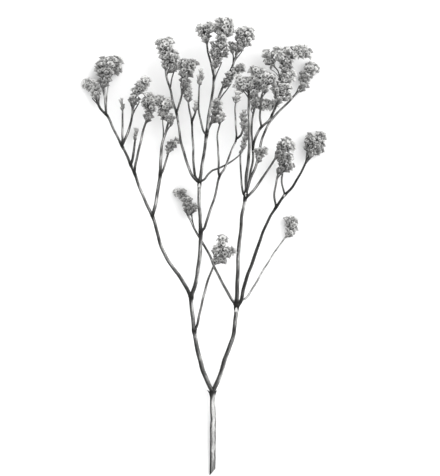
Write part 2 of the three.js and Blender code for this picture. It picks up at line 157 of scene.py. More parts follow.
# The cut face from its rim to its middle: share of the radius, depth into the stem, tone.
CUT_FACE = [
    (0.97, 0.10 * MM, 0.1),
    (0.90, -0.10 * MM, 0.1),
    (0.80, -0.16 * MM, 0.3),
    (0.66, -0.08 * MM, 0.8),
    (0.20, -0.05 * MM, 1.1),
]
SPIKE_SWOLLEN = 1.35  # a spike's head starts where it is this many times as thick as at its base
SPIKE_TIP = 0.5 * MM  # radius of the stalk inside a spike's head
SPIKE_CORE = 1.0 * MM  # a spike's cups open further than this from its axis
SPIKE_FULL = 4.3 * MM  # radius of a spike whose cups are as large as those of a head
SPIKE_SLIM = 0.5  # how full the slimmest spikes count as
SPIKE_CUP_SIZE = 0.95
SPIKE_SPREADING = 0.8  # how much the cups of the fullest spikes turn outwards
SPIKE_DISORDER, HEAD_DISORDER = 0.1, 0.12  # how much the cups' directions vary
TIP_POINTS = 3  # how many points before a spike's tip its stalk ends, inside the last cup
FOOT_POINTS = 2  # how many points above the foot of a spike's head the mouths of its cups start

CUP_SPACING = 3.3 * MM
TRIES_PER_SPOT, FEWEST_TRIES = 30, 60  # random places that are tried
NEIGHBOUR_REACH = 1.1  # spacings: a spot faces the way that the surface does up to here
NEIGHBOUR_COSINE = -0.2  # the least that a place's facing agrees with the spot's to count for it
SOCKET_MARGIN = 0.6 * MM  # no cup opens nearer than this to a stem
CUP_LENGTH = 4.25  # of the cup as drawn below, in its own units
CUP_SIDES = 20
CUP_KINDS, CUPS_OF_A_KIND = 5, 2  # steps of openness, and different cups in each
HEAD_CUP_SIZE = 1.08
LEAST_OPEN = 0.55  # how open the cups of the slimmest spikes are
FAN_START = 7 * MM  # how far before a head's foot the cups seem to spread from
# Values at the foot of a head, and how much each changes up to its top: how much a cup points straight
# out of the head and along its funnel, how open it is, its size and its tone.
STRAIGHT_OUT, ALONG_FUNNEL = (0.45, 0.75), (1.4, -0.7)
CUP_OPENING, CUP_SIZE, CUP_TONE = (0.40, 0.60), (0.88, 0.22), (0.76, 0.58)
SPIKE_OPENING = (-0.7, 1.6)  # of a spike with no fullness, and how much fullness adds
MOUTHS_OUT = (-0.1, 0.35)  # mean and spread of how far the mouths stand out of the solid, in mm
MOUTH_LIMITS = (-0.8, 0.5)  # the least and most of it
OPENING_SPREAD, OPENING_LIMIT = 0.14, 0.99
CUP_SIZES, CUP_TONES = (0.84, 1.14), (0.75, 1.25)  # the least and the most, beside that
BUD_SIZES, BUD_TONES = (0.8, 1.15), (0.7, 1.2)
MOST_RISE = 1.5 * MM  # how far a cup can be raised off the floor
HEAD_MARGIN = 2.2 * MM  # a stem nearer than this to a corner of a head's solid is in the head
BUD_SPACING = 2.25 * MM
BUD_DEPTH = 1.2 * MM  # how far the buds between the cups lie below the cups' mouths
TWIG_SIDES = 5
TWIG_RIDGES = 3
TWIG_RADIUS = 0.24 * MM  # of one that carries a single cup
TWIG_GROWTH, TWIG_FULL_LOAD = 0.33, 12  # the power of the load that the radius follows, up to this load
TWIG_TAPER = (1.1, 0.9)
TWIG_STEP, TWIG_MOST_STEPS = 1.3 * MM, 4
TWIG_BEND, TWIG_DISORDER = 0.15, 0.05  # of the twig's length
TWIG_TONE = 0.28
TWIG_REACH = 7 * MM  # how far below a head its lowest twigs leave the stem
BRANCH_REACH = 0.35  # how far below a head its side branches leave, of its length
BRANCH_RADIUS = 0.55 * MM
BRANCH_TAPER = (1.15, 0.7)
BRANCH_BOW = 0.1  # of its length
BRANCH_END = 0.3  # how far it goes on inside the head, of its length
BRANCH_SIDES = 8
BRANCH_SPREAD = 2.3 * MM  # how far from the stem a side branch enters its head
BRANCH_MARGIN = 3.0 * MM  # a side branch ends nearer than this to a cup's mouth
TWIG_DETOUR = 0.25  # how much a cup minds a long way back to the stem
STEEP = 0.95  # the cosine of the angle to the stem that a twig can have for nothing
STEM_STEEPNESS = 12  # how much a twig that leaves a stem minds a wider angle
TWIG_STEEPNESS = 3  # the same for one that leaves another twig


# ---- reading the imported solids, and two small helpers

def rising(share, start_and_change):
    """The value at a share of the way, from what it is at the start and its change over all of it."""
    start, change = start_and_change
    return start + change * share


def unit(vectors):
    """Each vector, one long."""
    return vectors / np.maximum(np.linalg.norm(vectors, axis=-1, keepdims=True), 1e-12)


def packed_solid(node):
    """The points of a node's solid, each once, and its triangles."""
    mesh = frame["nodes"][node].data
    corners = np.empty(len(mesh.vertices) * 3, np.float32)
    mesh.vertices.foreach_get("co", corners)
    points, which = np.unique(corners.reshape(-1, 3), axis=0, return_inverse=True)
    triangles = np.array([polygon.vertices[:] for polygon in mesh.polygons])
    return points.astype(float), which.ravel()[triangles]


def packed_rings(node):
    """A packed stem's rings from base to tip, as middles and radii, and the corners of its cut base."""
    points, triangles = packed_solid(node)
    neighbours = [set() for _ in points]
    for triangle in triangles.tolist():
        for corner in triangle:
            neighbours[corner].update(triangle)
    ahead = 0 if node in SIDEWAYS_TIPS else 1
    ring = set(np.argsort(points[:, ahead])[-PACKED_SIDES:].tolist())
    passed = set(ring)
    middles, radii = [], []
    while len(ring) == PACKED_SIDES:
        corners = points[sorted(ring)]
        middles.append(corners.mean(axis=0))
        radii.append(np.linalg.norm(corners - middles[-1], axis=1).mean())
        last_corners = corners
        ring = set().union(*(neighbours[corner] for corner in ring)) - passed
        passed |= ring
    base = points[sorted(ring)] if ring else last_corners
    return np.array(middles[::-1]), np.array(radii[::-1]), base


# ---- the stems' axes

def smooth_path(knots, values, step):
    """Points every step along a smooth curve through the knots, and the value at each of them."""
    gaps = np.linalg.norm(np.diff(knots, axis=0), axis=1)
    places = np.concatenate([[0.0], np.cumsum(gaps)])
    slopes = np.gradient(knots, places, axis=0)
    fine = np.linspace(0.0, places[-1], max(3, round(places[-1] / step)) + 1)
    k = np.clip(np.searchsorted(places, fine, side="right") - 1, 0, len(gaps) - 1)
    gap = gaps[k][:, None]
    t = (fine - places[k])[:, None] / gap
    start = (1 + 2 * t) * (1 - t) ** 2 * knots[k] + t * (1 - t) ** 2 * gap * slopes[k]
    end = t**2 * (3 - 2 * t) * knots[k + 1] + t**2 * (t - 1) * gap * slopes[k + 1]
    return start + end, np.interp(fine, places, values)


def trace_stem(node, parent_path):
    """A stem's path from its parent's axis to its tip, and its radius along it."""
    middles, radii, base = packed_rings(node)
    if SLOTS[node] == "floret":
        bare = radii < SPIKE_SWOLLEN * radii[0]
        places = np.linspace(0.0, 1.0, len(radii))
        radii = np.interp(places, [0.0, 1.0], [radii[bare].max(), SPIKE_TIP])
    if parent_path is not None:
        nearest = np.linalg.norm(parent_path - base.mean(axis=0), axis=1).argmin()
        middles = np.vstack([parent_path[nearest], middles])
        radii = np.concatenate([[radii[0]], radii])
    return smooth_path(middles, radii, RING_STEP)


paths = {}
path_radii = {}
parents = {side: stem for stem, sides in SIDE_STEMS.items() for side in sides}
for stem in ["main_stem", *parents]:
    paths[stem], path_radii[stem] = trace_stem(stem, paths.get(parents.get(stem)))


# ---- meshes in parts

def add_object(name, data):
    """A new object in the scene, at the origin."""
    made = bpy.data.objects.new(name, data)
    bpy.context.scene.collection.objects.link(made)
    return made


class Parts:
    """Points, faces and tones of one piece, gathered from its parts."""

    def __init__(self):
        self.points = []
        self.faces = []
        self.tones = []
        self.grains = []
        self.count = 0

    def add(self, points, faces, tones, grains=None):
        """Adds a part. grains are its points' places in the patterns of the material."""
        self.points.append(points)
        self.faces.extend((np.asarray(face) + self.count).tolist() for face in faces)
        self.tones.append(np.broadcast_to(tones, len(points)))
        self.grains.append(np.zeros_like(points) if grains is None else grains)
        self.count += len(points)

    def piece(self, name, node, material):
        """Makes the object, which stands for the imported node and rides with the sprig."""
        points = np.vstack(self.points)
        points[:, 2] = np.maximum(points[:, 2], FLOOR)
        mesh = bpy.data.meshes.new(name)
        mesh.from_pydata(points.tolist(), [], self.faces)
        mesh.shade_smooth()
        tone = mesh.attributes.new("tone", "FLOAT", "POINT")
        tone.data.foreach_set("value", np.concatenate(self.tones).astype(np.float32))
        grain = mesh.attributes.new("grain", "FLOAT_VECTOR", "POINT")
        grain.data.foreach_set("vector", np.vstack(self.grains).astype(np.float32).ravel())
        mesh.materials.append(material)
        made = add_object(name, mesh)
        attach(made, "root")
        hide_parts(node)


def band_faces(rings, sides):
    """The quads between successive rings of a tube, and the ends that close it."""
    ring = np.arange(rings - 1)[:, None] * sides
    side = np.arange(sides)[None, :]
    after = (side + 1) % sides
    quads = np.stack([ring + side, ring + after, ring + sides + after, ring + sides + side], axis=-1)
    ends = [np.arange(sides)[::-1], np.arange(sides) + (rings - 1) * sides]
    return [*quads.reshape(-1, 4), *ends]


# ---- stems

def directions(path):
    """The way that a path runs at each point, with the directions to its right and over its top."""
    ahead = unit(np.gradient(path, axis=0))
    right = unit(np.cross(ahead, UP))
    return ahead, right, np.cross(right, ahead)


def swellings(path, forks):
    """How much thicker a stem is at each point because of the side stems that leave near it."""
    swollen = np.ones(len(path))
    for fork in forks:
        distance = np.linalg.norm(path - fork, axis=1)
        swollen += FORK_SWELLING * np.exp(-((distance / FORK_REACH) ** 2))
    return np.minimum(swollen, 1 + SHARED_SWELLING * FORK_SWELLING)


def round_end(path, radii):
    """The path and its radii with a rounded end added past the last point."""
    ahead = unit(path[-1] - path[-2])
    bulge = path[-1] + np.sin(END_TURNS)[:, None] * ahead * radii[-1]
    return np.vstack([path, bulge]), np.concatenate([radii, np.cos(END_TURNS) * radii[-1]])


def distances_along(path):
    """The distance along the path from its start to each of its points."""
    return np.concatenate([[0.0], np.cumsum(np.linalg.norm(np.diff(path, axis=0), axis=1))])


def add_tube(parts, path, radii, tone_at, rng, sides=None):
    """A ridged tube. A stem's sides follow from its ridges, and those of a twig are given.

    tone_at(turns, along) gives the tone at each turn from the top, to the right, and distance along it.
    """
    if sides is None:
        path, radii = round_end(path, radii)
        ridges = round(FEWEST_RIDGES + RIDGES_PER_RADIUS * radii.max())
        sides = SIDES_PER_RIDGE * ridges
    else:
        ridges = TWIG_RIDGES
    _, right, top = directions(path)
    along = distances_along(path)[:, None]
    angles = np.arange(sides) / sides * 2 * math.pi
    phase = rng.uniform(0, 2 * math.pi, 4)
    drift = RIDGE_DRIFT * np.sin(along / RIDGE_DRIFT_LENGTH + phase[0])
    ridge = 1 + RIDGE_DEPTH * np.cos(ridges * (angles + drift) + phase[1])
    bumps = 1 + OVAL * np.sin(2 * angles + along / OVAL_LENGTH + phase[2])
    bumps = bumps + BUMP * np.sin(angles + along / BUMP_LENGTH + phase[3])
    radius = radii[:, None] * ridge * bumps
    around = np.cos(angles)[:, None] * top[:, None] + np.sin(angles)[:, None] * right[:, None]
    points = path[:, None] + radius[..., None] * around
    turns = (angles + math.pi) % (2 * math.pi) - math.pi
    raised = (ridge - 1 + RIDGE_DEPTH) / (2 * RIDGE_DEPTH)
    tones = tone_at(turns, along) * (GROOVE_SHADE + (RIDGE_SHADE - GROOVE_SHADE) * raised) * bumps
    grain = np.stack([
        np.broadcast_to(along, radius.shape),
        radius * np.cos(angles),
        radius * np.sin(angles),
    ], axis=-1)
    faces = band_faces(len(path), sides)
    parts.add(points.reshape(-1, 3), faces, tones.ravel(), grain.reshape(-1, 3))
    return points


SCALE_ROWS, SCALE_COLUMNS = 5, 5
SCALE_TAPER = 1.6  # the more, the blunter its point
SCALE_WRAP = 1.1  # how far round the stem each half of it reaches, in radians
SCALE_LIFT = 0.18  # how far its point stands off the stem, of its length
SCALE_THICKNESS = 0.12 * MM
SCALE_SHADES = (0.6, 0.6)  # of its tone, at its base and how much more at its point


def add_scale(parts, root, ahead, outward, size, tone):
    """A small pointed scale leaf that hugs a stem. root is the middle of its base."""
    width, length = size
    across = np.cross(ahead, outward)
    v, u = np.meshgrid(np.linspace(0, 1, SCALE_ROWS), np.linspace(-1, 1, SCALE_COLUMNS), indexing="ij")
    half = width / 2 * np.sqrt(np.clip(1 - v**SCALE_TAPER, 0.01, 1))
    wrap = u * SCALE_WRAP
    lift = half * (np.cos(wrap) - 1) + SCALE_LIFT * length * v**2
    outer = (
        root + v[..., None] * length * ahead + (half * np.sin(wrap))[..., None] * across
        + lift[..., None] * outward
    )
    inner = outer - SCALE_THICKNESS * outward
    front = outer.reshape(-1, 3)
    back = inner.reshape(-1, 3)
    grid = np.arange(len(front)).reshape(v.shape)
    quads = np.stack([grid[:-1, :-1], grid[:-1, 1:], grid[1:, 1:], grid[1:, :-1]], axis=-1).reshape(-1, 4)
    faces = [face for quad in quads for face in (quad, quad[::-1] + len(front))]
    edge = [*grid[0], *grid[1:, -1], *grid[-1, -2::-1], *grid[-2:0:-1, 0]]
    for here, there in zip(edge, edge[1:] + edge[:1]):
        faces.append([there, here, here + len(front), there + len(front)])
    tones = tone * rising(np.concatenate([v.ravel(), v.ravel()]), SCALE_SHADES)
    parts.add(np.vstack([front, back]), faces, tones)


# ---- cups

# height, radius of a closed cup, radius of an open one, depth of the lobes, tone
CUP_PROFILE = [
    (0.00, 0.30, 0.30, 0.00, 0.24),
    (1.30, 0.76, 0.72, 0.04, 0.26),
    (2.80, 1.06, 1.20, 0.08, 0.36),
    (3.70, 0.98, 1.90, 0.09, 0.50),
    (4.25, 0.72, 2.30, 0.09, 0.78),
    (3.95, 0.60, 1.92, 0.08, 0.88),
    (3.30, 0.52, 1.20, 0.06, 0.70),
    (2.60, 0.30, 0.50, 0.02, 0.20),
]
# The shrivelled flower that stands in the cup: height, radius, depth of the lobes, tone.
FLOWER_PROFILE = [
    (2.50, 0.22, 0.00, 0.08),
    (3.20, 0.42, 0.12, 0.16),
    (3.80, 0.60, 0.30, 0.38),
    (3.50, 0.18, 0.00, 0.06),
]
FLOWER_SIDES = 8
# A scale at the foot of a cup, from its base to its point, then the middles of its two lower rows again,
# on its inner side: distance from the cup's axis, place across it, share of its length.
CUP_SCALE = [
    (0.30, -0.45, 0.10), (0.55, 0.00, 0.10), (0.30, 0.45, 0.10),
    (0.55, -0.42, 0.55), (0.95, 0.00, 0.55), (0.55, 0.42, 0.55),
    (1.05, 0.00, 1.00),
    (0.30, 0.00, 0.10), (0.65, 0.00, 0.55),
]
CUP_SCALE_TONE = 0.22
# height, radius, tone
BUD_PROFILE = [(0.0, 0.30, 0.2), (1.3, 0.86, 0.32), (2.7, 0.84, 0.5), (3.7, 0.18, 0.75)]
BUD_SIDES = 6
LOBES = 5
LOBE_SPREAD = 0.4  # how much the lobes differ
LOBE_LIFT = 0.7  # how far a lobe rises, of how far it stands out
PLEAT = 0.05  # how much nearer to the axis every second line of points is
VEIN_SHADE = 0.25  # how much darker it is
CUP_CRUMPLE, FLOWER_CRUMPLE = 0.03, 0.05
CUP_WIDTHS = (0.85, 1.05)  # the least and the most that a cup is widened one way
CUP_LEAN = 0.12  # how far its mouth is to one side
# Values in a closed cup, and how much each grows in an open one: depth of the lobes, width of the flower.
LOBE_DEPTH, FLOWER_WIDTH = (0.5, 0.5), (0.55, 0.45)
CUP_SCALE_TURNS, CUP_SCALE_STRAY = (0.3, 3.3), 0.3  # where its scales are around it, in radians
CUP_SCALE_LENGTHS = (1.7, 2.5)


def lobed_rings(heights, radii, depths, sides, lobe_sizes, crumple, rng):
    """Rings of a shape with lobes, which also lift at the lobes, and with crumpled pleats."""
    turns = np.arange(sides)
    angles = turns / sides * 2 * math.pi
    lobe = np.cos(LOBES * angles) + lobe_sizes[turns * LOBES // sides]
    pleat = 1 - PLEAT * (turns % 2) + crumple * rng.normal(0, 1, (len(heights), sides))
    radius = radii[:, None] * (1 + depths[:, None] * lobe) * pleat
    uneven = lobe + 4 * crumple * rng.normal(0, 1, sides)
    height = heights[:, None] + depths[:, None] * uneven * LOBE_LIFT
    return np.stack([radius * np.cos(angles), radius * np.sin(angles), height], axis=-1)


def cup_variant(rng, opening):
    """One cup with its base at the origin and its mouth towards +Z: points, faces and tones."""
    parts = Parts()
    heights, closed, opened, depths, tones = np.array(CUP_PROFILE).T
    radii = closed + opening * (opened - closed)
    depths = depths * rising(opening, LOBE_DEPTH)
    lobe_sizes = rng.normal(0, LOBE_SPREAD, LOBES)
    rings = lobed_rings(heights, radii, depths, CUP_SIDES, lobe_sizes, CUP_CRUMPLE, rng)
    rings[..., 0] *= rng.uniform(*CUP_WIDTHS)
    lean = rng.normal(0, CUP_LEAN, 2)
    rings[..., :2] += (rings[..., 2:] / CUP_LENGTH) ** 2 * lean
    veined = tones[:, None] * (1 - VEIN_SHADE * (np.arange(CUP_SIDES) % 2))
    parts.add(rings.reshape(-1, 3), band_faces(len(heights), CUP_SIDES), veined.ravel())
    heights, radii, depths, tones = np.array(FLOWER_PROFILE).T
    radii = radii * rising(opening, FLOWER_WIDTH)
    rings = lobed_rings(heights, radii, depths, FLOWER_SIDES, lobe_sizes, FLOWER_CRUMPLE, rng)
    rings[..., :2] += lean
    parts.add(rings.reshape(-1, 3), band_faces(len(heights), FLOWER_SIDES), np.repeat(tones, FLOWER_SIDES))
    for turn in CUP_SCALE_TURNS:
        stray = rng.uniform(-CUP_SCALE_STRAY, CUP_SCALE_STRAY)
        add_cup_scale(parts, turn + stray, rng.uniform(*CUP_SCALE_LENGTHS))
    return np.vstack(parts.points), parts.faces, np.concatenate(parts.tones)


def bud_variant():
    """One closed bud with its base at the origin: points, faces and tones."""
    heights, radii, tones = np.array(BUD_PROFILE).T
    angles = np.arange(BUD_SIDES) / BUD_SIDES * 2 * math.pi
    circle = np.stack([np.cos(angles), np.sin(angles), 0 * angles], axis=-1)
    rings = radii[:, None, None] * circle + heights[:, None, None] * UP
    return rings.reshape(-1, 3), band_faces(len(heights), BUD_SIDES), np.repeat(tones, BUD_SIDES)


def add_cup_scale(parts, turn, length):
    """One of the small scales that clasp the foot of a cup."""
    outward = np.array([math.cos(turn), math.sin(turn), 0.0])
    across = np.array([-math.sin(turn), math.cos(turn), 0.0])
    points = np.array([
        outward * reach + across * sideways + UP * height * length
        for reach, sideways, height in CUP_SCALE
    ])
    skin = [[0, 1, 4, 3], [1, 2, 5, 4], [3, 4, 6], [4, 5, 6]]
    lining = {1: 7, 4: 8}  # the points that take the place of the skin's on the inner side
    back = [[lining.get(corner, corner) for corner in face[::-1]] for face in skin]
    base = [[0, 7, 1], [1, 7, 2]]
    parts.add(points, [*skin, *back, *base], CUP_SCALE_TONE)


def turned_to(ways, rolls):
    """Rotations that turn +Z to each way, after a roll about it."""
    side = unit(np.cross(ways, np.where(np.abs(ways[:, :1]) > 0.8, [[0.0, 1.0, 0.0]], [[1.0, 0.0, 0.0]])))
    other = np.cross(ways, side)
    x = np.cos(rolls)[:, None] * side + np.sin(rolls)[:, None] * other
    return np.stack([x, np.cross(ways, x), ways], axis=-1)


def spread(solid, spacing, allowed, rng):
    """Spots on a solid about a spacing apart where allowed(spots) says so, and the way each faces."""
    points, triangles = solid
    corners = points[triangles]
    crossed = np.cross(corners[:, 1] - corners[:, 0], corners[:, 2] - corners[:, 0])
    areas = np.linalg.norm(crossed, axis=1) / 2
    tries = int(TRIES_PER_SPOT * areas.sum() / spacing**2) + FEWEST_TRIES
    chosen = rng.choice(len(triangles), tries, p=areas / areas.sum())
    a, b = rng.random((2, tries, 1))
    root = np.sqrt(a)
    first, second, third = corners[chosen].transpose(1, 0, 2)
    tried = first * (1 - root) + second * root * (1 - b) + third * root * b
    facing = unit(crossed)[chosen]
    fits = allowed(tried)
    tried, facing = tried[fits], facing[fits]
    kept = []
    for k, spot in enumerate(tried):
        if not kept or np.linalg.norm(tried[kept] - spot, axis=1).min() >= spacing:
            kept.append(k)
    ways = []
    for k in kept:
        near = np.linalg.norm(tried - tried[k], axis=1) < NEIGHBOUR_REACH * spacing
        alike = facing[near] @ facing[k] > NEIGHBOUR_COSINE
        ways.append(facing[near][alike].sum(axis=0))
    return tried[kept], unit(np.array(ways))


def way_round(starts, ends, growing, steepness):
    """The length from each start to each end, which counts for more the less it runs along growing."""
    across = ends[None] - starts[:, None]
    length = np.maximum(np.linalg.norm(across, axis=2), 1e-9)
    ahead = (across * growing[:, None]).sum(axis=2) / length
    return length * (1 + steepness * np.maximum(STEEP - ahead, 0) ** 2)


def join_twigs(roots, growing, growth, bases):
    """For each cup's base, where its twig comes from, the way there, and how many cups it carries.

    roots are points of the stems, growing is the way each runs, and growth the way that the head does.
    """
    reach = way_round(roots, bases, growing, STEM_STEEPNESS)
    cost = reach.min(axis=0)
    nearest = reach.argmin(axis=0)
    origin = roots[nearest]
    leaving = growing[nearest]
    onward = way_round(bases, bases, np.broadcast_to(growth, bases.shape), TWIG_STEEPNESS)
    holder = np.full(len(bases), -1)
    waiting = np.ones(len(bases), bool)
    order = []
    for _ in bases:
        k = np.where(waiting, cost, np.inf).argmin()
        waiting[k] = False
        order.append(k)
        from_here = onward[k] + TWIG_DETOUR * cost[k]
        better = waiting & (from_here < cost)
        cost[better] = from_here[better]
        origin[better] = bases[k]
        leaving[better] = growth
        holder[better] = k
    load = np.ones(len(bases))
    for k in reversed(order):
        if holder[k] >= 0:
            load[holder[k]] += load[k]
    return origin, leaving, load


def add_twigs(parts, joined, bases, rng):
    """Thin twigs from the stems to every cup's base, which leave along the stem and then turn outwards."""
    for origin, leaving, load, base in zip(*joined, bases):
        span = np.linalg.norm(base - origin)
        middle = (origin + base) / 2 + (TWIG_BEND * leaving + rng.normal(0, TWIG_DISORDER, 3)) * span
        step = max(TWIG_STEP, span / TWIG_MOST_STEPS)
        path, _ = smooth_path(np.array([origin, middle, base]), np.zeros(3), step)
        radius = TWIG_RADIUS * min(load, TWIG_FULL_LOAD) ** TWIG_GROWTH
        radii = np.linspace(radius * TWIG_TAPER[0], radius * TWIG_TAPER[1], len(path))
        add_tube(parts, path, radii, lambda turns, along: TWIG_TONE, rng, TWIG_SIDES)


def place(parts, variant, base, turn, size, tone, rng):
    """Adds a cup or a bud, raised off the floor where it would reach through it. Returns its base."""
    points, faces, tones = variant
    placed = base + size * points @ turn.T
    rise = min(max(FLOOR - placed[:, 2].min(), 0.0), MOST_RISE) * UP
    parts.add(placed + rise, faces, tones * tone, points * MM + rng.uniform(0, 1, 3))
    return base + rise


cup_rng = np.random.default_rng(11)
CUPS = [
    [cup_variant(cup_rng, (kind + 0.5) / CUP_KINDS) for _ in range(CUPS_OF_A_KIND)]
    for kind in range(CUP_KINDS)
]
BUD = bud_variant()


# ---- materials

WARMTH = 0.985  # how much blue a grey has, of its red and green
FIBRES = (110, 2600, 2600)  # how fine a stem's streaks are along it and across it, per metre


def new_material(name):
    """A new material, and its node tree."""
    material = bpy.data.materials.new(name)
    material.use_nodes = True
    return material, material.node_tree


def attribute(tree, name):
    """The node that reads a value which is stored at the points of a mesh."""
    node = tree.nodes.new("ShaderNodeAttribute")
    node.attribute_name = name
    return node


def ramp(tree, tone, stops):
    """A tone as a grey, which is very slightly warm. stops are tones and their greys."""
    node = tree.nodes.new("ShaderNodeValToRGB")
    elements = node.color_ramp.elements
    while len(elements) < len(stops):
        elements.new(0.5)
    for element, (place, grey) in zip(elements, stops):
        element.position = place
        element.color = (grey, grey, grey * WARMTH, 1)
    tree.links.new(tone, node.inputs[0])
    return node.outputs[0]


def noise(tree, vector, scale, detail=3.0):
    """A noise pattern at the places that the vector gives."""
    node = tree.nodes.new("ShaderNodeTexNoise")
    node.inputs["Scale"].default_value = scale
    node.inputs["Detail"].default_value = detail
    tree.links.new(vector, node.inputs["Vector"])
    return node.outputs[0]


def maths(tree, operation, *values):
    """The result of a sum, with values that are numbers or the outputs of nodes."""
    node = tree.nodes.new("ShaderNodeMath")
    node.operation = operation
    for socket, value in zip(node.inputs, values):
        if isinstance(value, (int, float)):
            socket.default_value = value
        else:
            tree.links.new(value, socket)
    return node.outputs[0]


def varying(tree, pattern, contrast):
    """A factor that is 1 where a noise is in its middle, and changes with it."""
    return maths(tree, "MULTIPLY_ADD", pattern, contrast, 1 - contrast / 2)


def above(tree, pattern, level, least):
    """A factor that is 1 where a noise is above the level, and falls to the least just below it."""
    node = tree.nodes.new("ShaderNodeMapRange")
    node.inputs["From Min"].default_value = level - 0.04
    node.inputs["From Max"].default_value = level + 0.04
    node.inputs["To Min"].default_value = least
    tree.links.new(pattern, node.inputs["Value"])
    return node.outputs[0]


def finish_material(tree, colour, roughness, height, strength, distance, shine):
    """Joins a material's colour, roughness and bump to its shader."""
    shader = tree.nodes["Principled BSDF"]
    shader.inputs["Specular IOR Level"].default_value = shine
    tree.links.new(colour, shader.inputs["Base Color"])
    tree.links.new(roughness, shader.inputs["Roughness"])
    bump = tree.nodes.new("ShaderNodeBump")
    bump.inputs["Strength"].default_value = strength
    bump.inputs["Distance"].default_value = distance
    tree.links.new(height, bump.inputs["Height"])
    tree.links.new(bump.outputs[0], shader.inputs["Normal"])


def stem_material():
    """Dry wood-like stem: dark, with paler streaks that run along it."""
    material, tree = new_material("dry_stem")
    grain = attribute(tree, "grain").outputs["Vector"]
    stretch = tree.nodes.new("ShaderNodeMapping")
    stretch.inputs["Scale"].default_value = FIBRES
    tree.links.new(grain, stretch.inputs["Vector"])
    fibres = noise(tree, stretch.outputs[0], 1.0, 6.0)
    cracks = noise(tree, stretch.outputs[0], 2.3, 2.0)
    blotches = noise(tree, grain, 120.0)
    tone = attribute(tree, "tone").outputs["Fac"]
    streaked = maths(tree, "MULTIPLY", tone, varying(tree, fibres, 3.2))
    cracked = maths(tree, "MULTIPLY", streaked, above(tree, cracks, 0.40, 0.25))
    spotted = maths(tree, "MULTIPLY", cracked, varying(tree, blotches, 1.6))
    colour = ramp(tree, spotted, [(0.0, 0.010), (0.25, 0.038), (0.55, 0.145), (1.0, 0.56)])
    roughness = maths(tree, "MULTIPLY_ADD", fibres, 0.3, 0.5)
    finish_material(tree, colour, roughness, fibres, 1.0, 0.4 * MM, 0.03)
    return material


def cup_material():
    """Papery cups: silver grey, dark towards their feet, with paler rims."""
    material, tree = new_material("papery_cups")
    grain = attribute(tree, "grain").outputs["Vector"]
    crumple = noise(tree, grain, 900.0)
    mottle = noise(tree, grain, 350.0)
    tone = attribute(tree, "tone").outputs["Fac"]
    varied = maths(tree, "MULTIPLY", tone, varying(tree, mottle, 1.2))
    colour = ramp(tree, varied, [(0.0, 0.026), (0.2, 0.11), (0.5, 0.31), (1.0, 0.68)])
    roughness = maths(tree, "MULTIPLY_ADD", crumple, 0.25, 0.6)
    finish_material(tree, colour, roughness, crumple, 0.4, 0.1 * MM, 0.15)
    return material


STEM_LOOK = stem_material()
CUP_LOOK = cup_material()


# ---- building the stems

def bell(values, middle, width):
    """A smooth bump that is 1 in its middle and falls off over its width."""
    return np.exp(-(((values - middle) / width) ** 2))


class HighlightBand(NamedTuple):
    """A painted highlight: a pale band along a stem. Places around it are in radians right of its top."""

    edge: float  # tone of the dark rest of the stem
    fading: float  # how much paler this is at the tip
    tone: float
    change: float  # how much the tone comes and goes, over the next two lengths
    short: float
    long: float
    middle: float
    width: float
    wander: float  # the length over which the middle moves from side to side
    dimming: float  # how much darker the band is at the stem's base
    dimmed: float  # the length of stem that this reaches


# The bands below are painted highlights: pale stripes on the stems' upper right, where the lamp lights them.
HIGHLIGHT_WANDER = 0.3  # how far a band's middle moves, in radians
THIN_HIGHLIGHT = HighlightBand(0.20, 0.0, 0.44, 0.28, 4 * MM, 11 * MM, 0.30, 0.90, 7 * MM, 0.40, 10 * MM)
THICK_HIGHLIGHT = HighlightBand(0.22, 0.0, 0.52, 0.28, 5 * MM, 14 * MM, 0.85, 0.95, 9 * MM, 0.55, 14 * MM)
PALER_HIGHLIGHT = THIN_HIGHLIGHT._replace(edge=0.28, tone=0.72)
HIGHLIGHTS = {
    "left_limb": THICK_HIGHLIGHT._replace(fading=0.12),
    "right_limb": THICK_HIGHLIGHT._replace(fading=0.12, tone=0.42, dimming=0.0),
    "left_branch": THICK_HIGHLIGHT,
    "right_branch": THICK_HIGHLIGHT._replace(edge=0.18, tone=0.12, change=0.1),
    "far_left_top_stalk": PALER_HIGHLIGHT,
    "far_left_top_head": PALER_HIGHLIGHT,  # its side branches
}
FADING_START, FADING_END = 0.6, 0.8  # shares of a stem's length

# The main stem's tone round it is painted light: painted shade on its sides, a painted highlight down its
# middle.
MAIN_SHADED_SIDES = 0.09  # the tone of the main stem's dark sides
MAIN_HIGHLIGHT, MAIN_HIGHLIGHT_BEYOND = 0.8, 1.6  # of its middle, at the cut and beyond
MAIN_HIGHLIGHT_GROWTH = 30 * MM  # the length from the cut over which it gets paler
MAIN_HIGHLIGHT_MIDDLE, MAIN_HIGHLIGHT_AT_FORK = 0.2, 0.8  # its pale middle's place, in radians right of the top
MAIN_FORK_REACH = 9 * MM
MAIN_HIGHLIGHT_WIDTH = 0.76
# Painted highlights where the lamp from the right lights: the main stem's right side, a pale stalk's upper
# right.
RIGHT_SIDE_HIGHLIGHT = (0.35, 1.6, 0.5)  # a second pale line along its right side: its tone, middle and width
FAINT_TONE, FAINT_HIGHLIGHT = 0.75, (0.2, 0.8, 0.7)  # a pale stalk, and the paler line along it, in the same way


